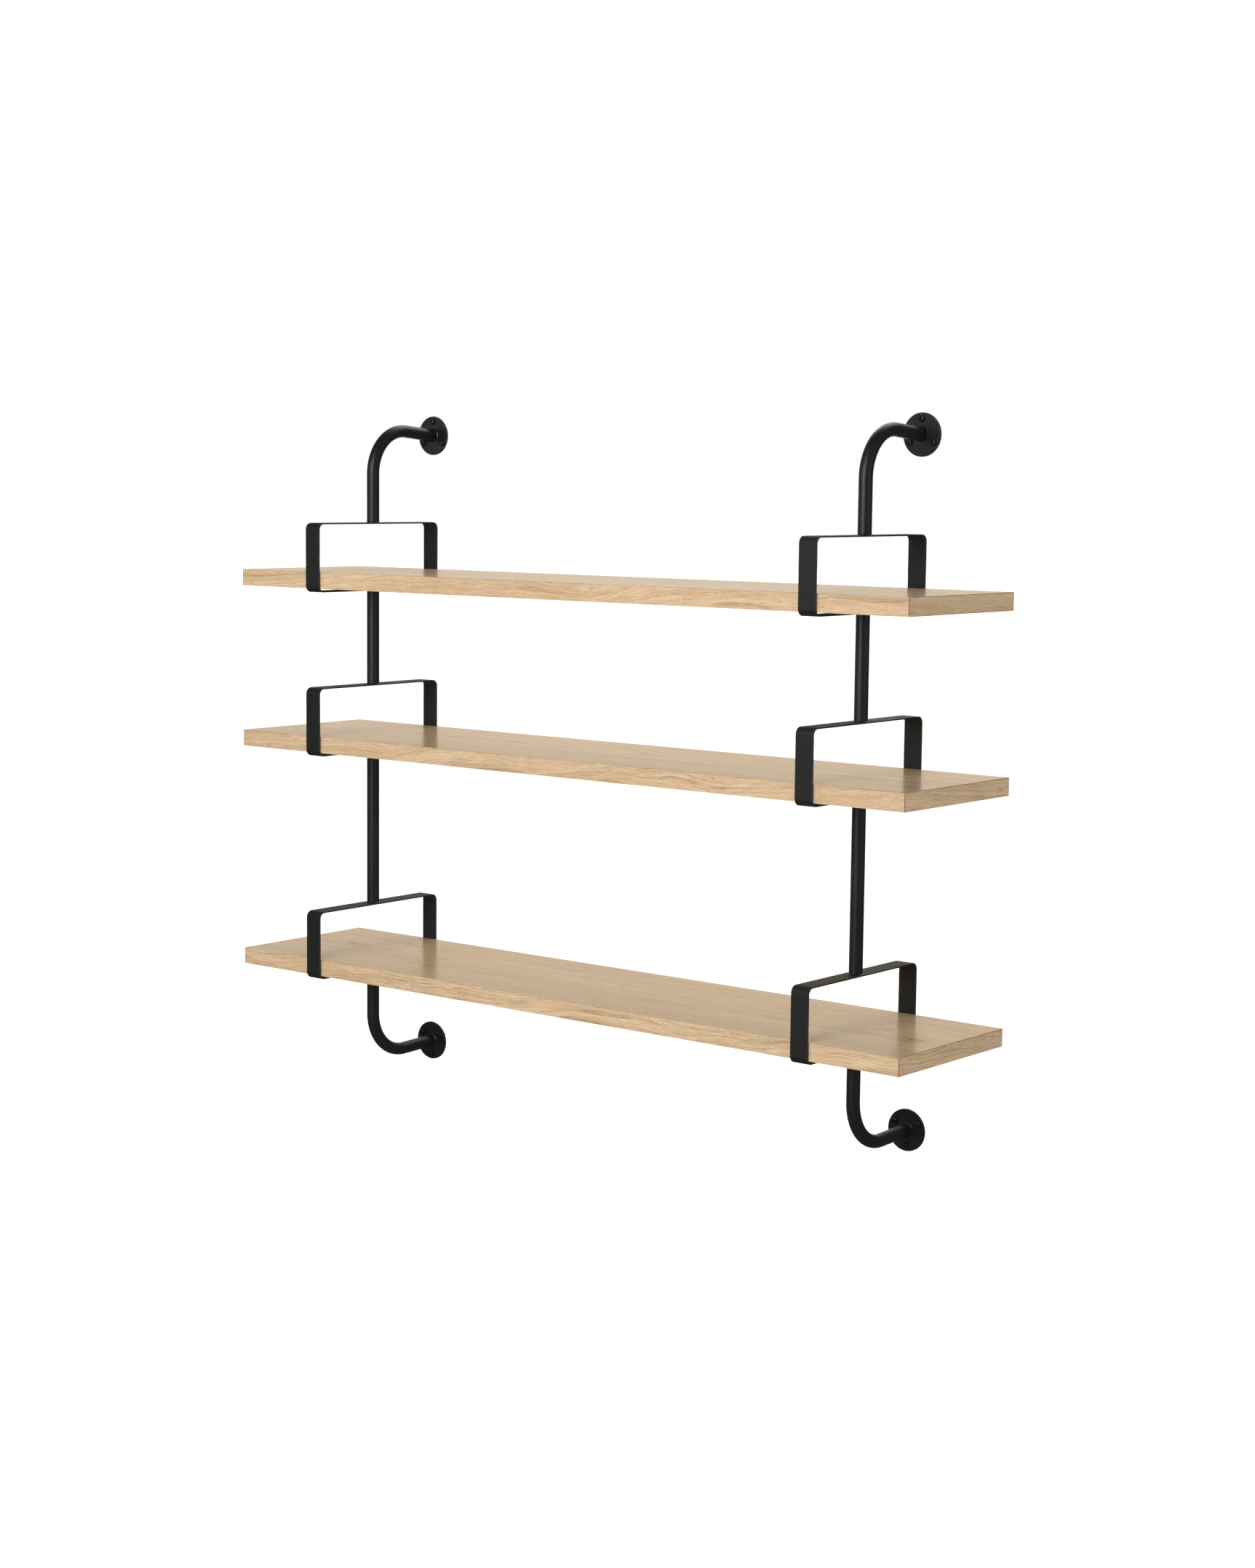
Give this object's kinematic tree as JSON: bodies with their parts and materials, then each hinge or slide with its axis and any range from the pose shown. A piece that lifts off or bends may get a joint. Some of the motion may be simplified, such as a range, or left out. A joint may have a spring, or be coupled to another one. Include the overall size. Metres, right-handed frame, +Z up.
{
  "type": "wall shelf",
  "caption": "Wall shelf of oak-faced boards held in flat-bar loops of two black tube frames that screw to the wall by round flanges.",
  "frame": {"origin": "on the wall, at the centre of the four outermost wall screws", "axes": "+X along the boards to the right, -Y out of the wall towards the room, +Z up"},
  "size_m": [1.219, 0.2758, 1.025],
  "materials": {
    "frame_steel": "satin black powder coat",
    "loop_steel": "satin black powder coat",
    "flange_steel": "satin black powder coat",
    "weld_steel": "satin black powder coat",
    "screw_steel": "black zinc, low gloss",
    "oak_face": "satin lacquer",
    "oak_edge": "satin lacquer",
    "board_core": "raw"
  },
  "bodies": {
    "root": {"top_board_core": "board_core", "top_board_upper_veneer": "oak_face", "top_board_lower_veneer": "oak_face", "top_board_front_band": "oak_edge", "top_board_back_band": "oak_edge", "top_board_left_band": "oak_edge", "top_board_right_band": "oak_edge", "middle_board_core": "board_core", "middle_board_upper_veneer": "oak_face", "middle_board_lower_veneer": "oak_face", "middle_board_front_band": "oak_edge", "middle_board_back_band": "oak_edge", "middle_board_left_band": "oak_edge", "middle_board_right_band": "oak_edge", "bottom_board_core": "board_core", "bottom_board_upper_veneer": "oak_face", "bottom_board_lower_veneer": "oak_face", "bottom_board_front_band": "oak_edge", "bottom_board_back_band": "oak_edge", "bottom_board_left_band": "oak_edge", "bottom_board_right_band": "oak_edge", "left_upper_arm": "frame_steel", "left_upper_upright": "frame_steel", "left_lower_upright": "frame_steel", "left_lower_arm": "frame_steel", "left_top_loop": "loop_steel", "left_middle_loop": "loop_steel", "left_bottom_loop": "loop_steel", "left_loop_welds": "weld_steel", "left_board_screws": "screw_steel", "left_upper_flange": "flange_steel", "left_lower_flange": "flange_steel", "left_upper_flange_weld": "weld_steel", "left_lower_flange_weld": "weld_steel", "left_upper_wall_screws": "screw_steel", "left_lower_wall_screws": "screw_steel", "right_upper_arm": "frame_steel", "right_upper_upright": "frame_steel", "right_lower_upright": "frame_steel", "right_lower_arm": "frame_steel", "right_top_loop": "loop_steel", "right_middle_loop": "loop_steel", "right_bottom_loop": "loop_steel", "right_loop_welds": "weld_steel", "right_board_screws": "screw_steel", "right_upper_flange": "flange_steel", "right_lower_flange": "flange_steel", "right_upper_flange_weld": "weld_steel", "right_lower_flange_weld": "weld_steel", "right_upper_wall_screws": "screw_steel", "right_lower_wall_screws": "screw_steel"}
  },
  "joints": []
}
